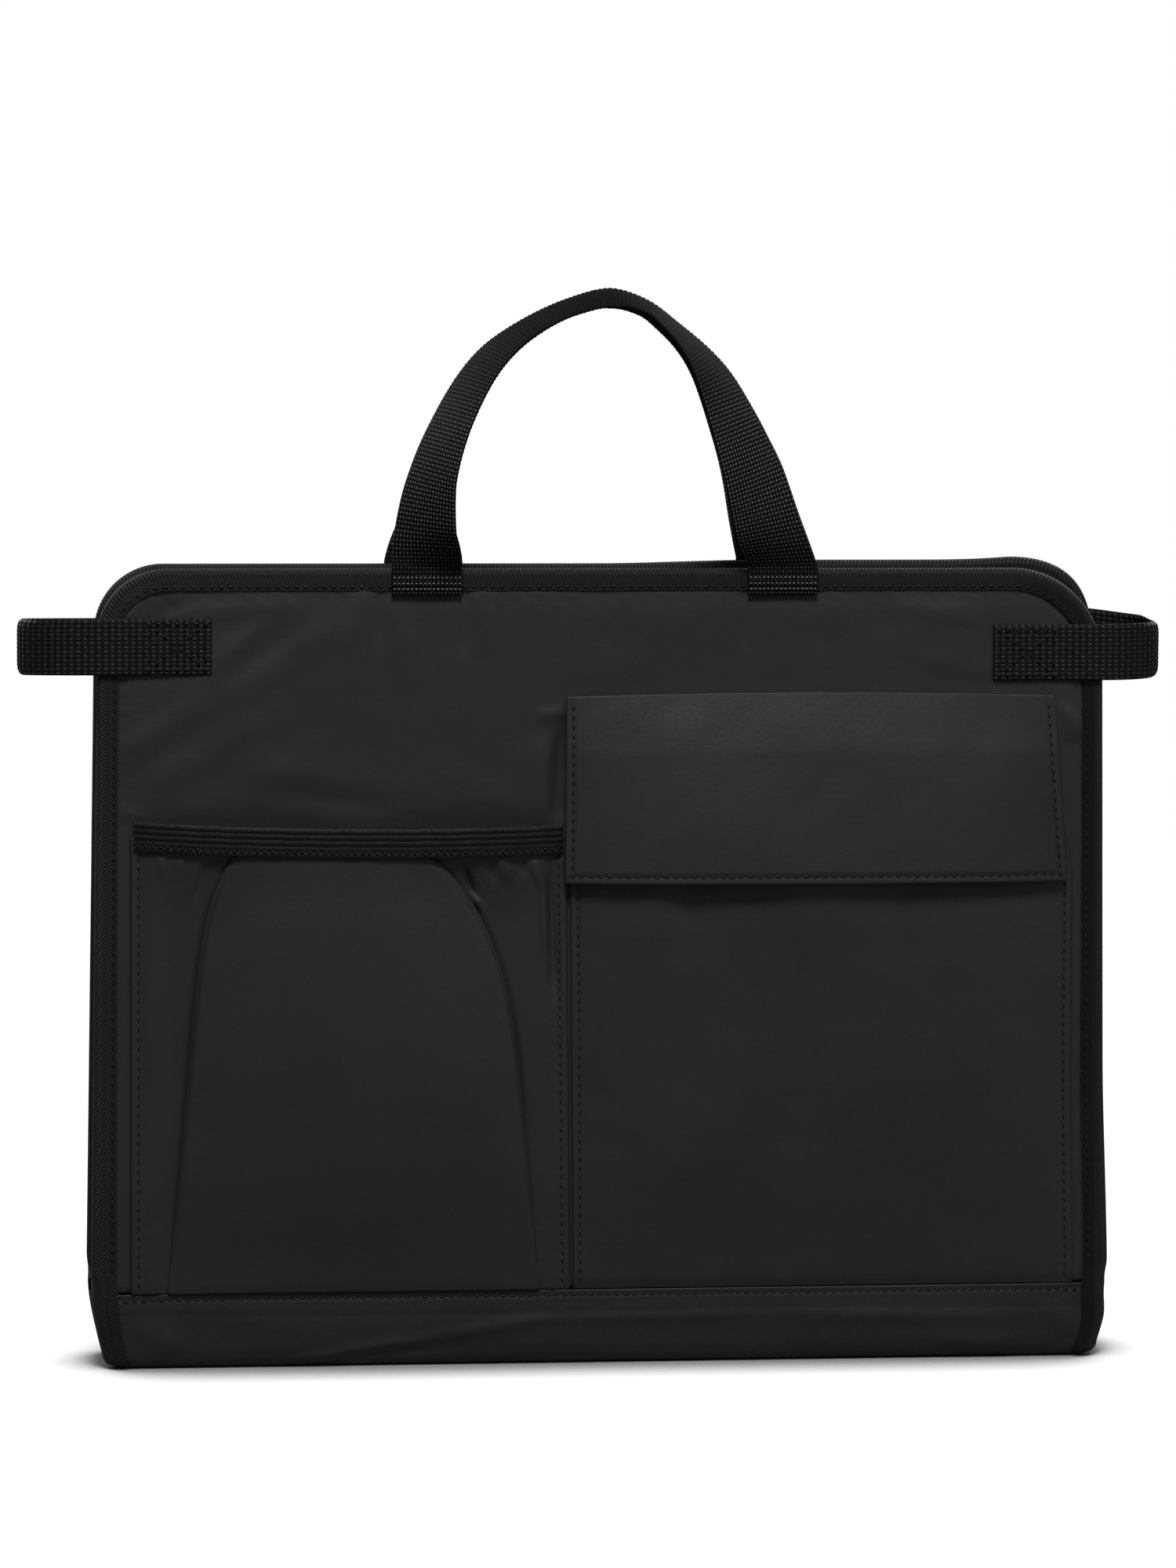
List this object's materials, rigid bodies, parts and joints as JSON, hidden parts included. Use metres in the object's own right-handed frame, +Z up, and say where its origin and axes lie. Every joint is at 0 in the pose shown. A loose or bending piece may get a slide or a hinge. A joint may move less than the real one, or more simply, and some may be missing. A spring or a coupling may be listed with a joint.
{
  "type": "purse organizer insert",
  "caption": "Slim padded fabric organizer with bound front and rear panels, folded side gussets, an elastic pleated pocket, a flap pocket, webbing handles and side loops.",
  "frame": {"origin": "middle of the base's flat underside", "axes": "+X to the right seen from the front, the front panel with its pockets faces -Y, +Z up"},
  "size_m": [0.4092, 0.0567, 0.382],
  "materials": {
    "panel_cloth": "fine matt nylon weave with a faint sheen",
    "flap_cloth": "fine matt nylon weave with a faint sheen",
    "band_cloth": "fine matt nylon weave with a faint sheen",
    "binding_tape": "matt twill tape",
    "webbing": "plain woven webbing with glossy yarns",
    "elastic": "ribbed matt elastic",
    "foam": "matt closed-cell padding",
    "lining": "thin plain-woven lining",
    "board": "matt plastic board",
    "grip_tape": "hook and loop pile"
  },
  "bodies": {
    "root": {"base_band": "band_cloth", "base_foam": "foam", "base_lining": "lining", "base_board": "board", "base_binding_front_left": "binding_tape", "base_binding_front_right": "binding_tape", "base_binding_rear_left": "binding_tape", "base_binding_rear_right": "binding_tape", "rear_outer_panel": "panel_cloth", "rear_foam": "foam", "rear_lining": "lining", "rear_binding": "binding_tape", "left_gusset": "panel_cloth", "right_gusset": "panel_cloth", "left_side_loop": "webbing", "right_side_loop": "webbing", "rear_handle_left_tab": "webbing", "rear_handle_right_tab": "webbing"},
    "front_side": {"front_outer_panel": "panel_cloth", "front_foam": "foam", "front_lining": "lining", "front_binding": "binding_tape", "front_handle_left_tab": "webbing", "front_handle_right_tab": "webbing", "pleated_pocket": "panel_cloth", "pocket_elastic": "elastic", "flap_pocket": "panel_cloth", "pocket_loop_tape": "grip_tape"},
    "flap": {"flap_outer": "flap_cloth", "flap_lining": "lining", "flap_hook_tape": "grip_tape"},
    "front_grip": {"front_handle": "webbing"},
    "rear_grip": {"rear_handle": "webbing"}
  },
  "joints": [
    {"name": "mouth_open", "type": "hinge", "parent": "root", "child": "front_side", "pos_m": [0, -0.021, 0.027], "axis": [1, 0, 0], "range_deg": [0, 6.5], "deforming": ["left_gusset", "right_gusset", "left_side_loop", "right_side_loop"]},
    {"name": "flap_hinge", "type": "hinge", "parent": "front_side", "child": "flap", "pos_m": [0, -0.0164, 0.23915], "axis": [-1, 0, 0], "range_deg": [0, 105]},
    {"name": "front_handle_hinge", "type": "hinge", "parent": "front_side", "child": "front_grip", "pos_m": [0, -0.01712, 0.28504], "axis": [1, 0, 0], "range_deg": [0, 90]},
    {"name": "rear_handle_hinge", "type": "hinge", "parent": "root", "child": "rear_grip", "pos_m": [0, 0.01712, 0.28504], "axis": [-1, 0, 0], "range_deg": [0, 140]}
  ]
}
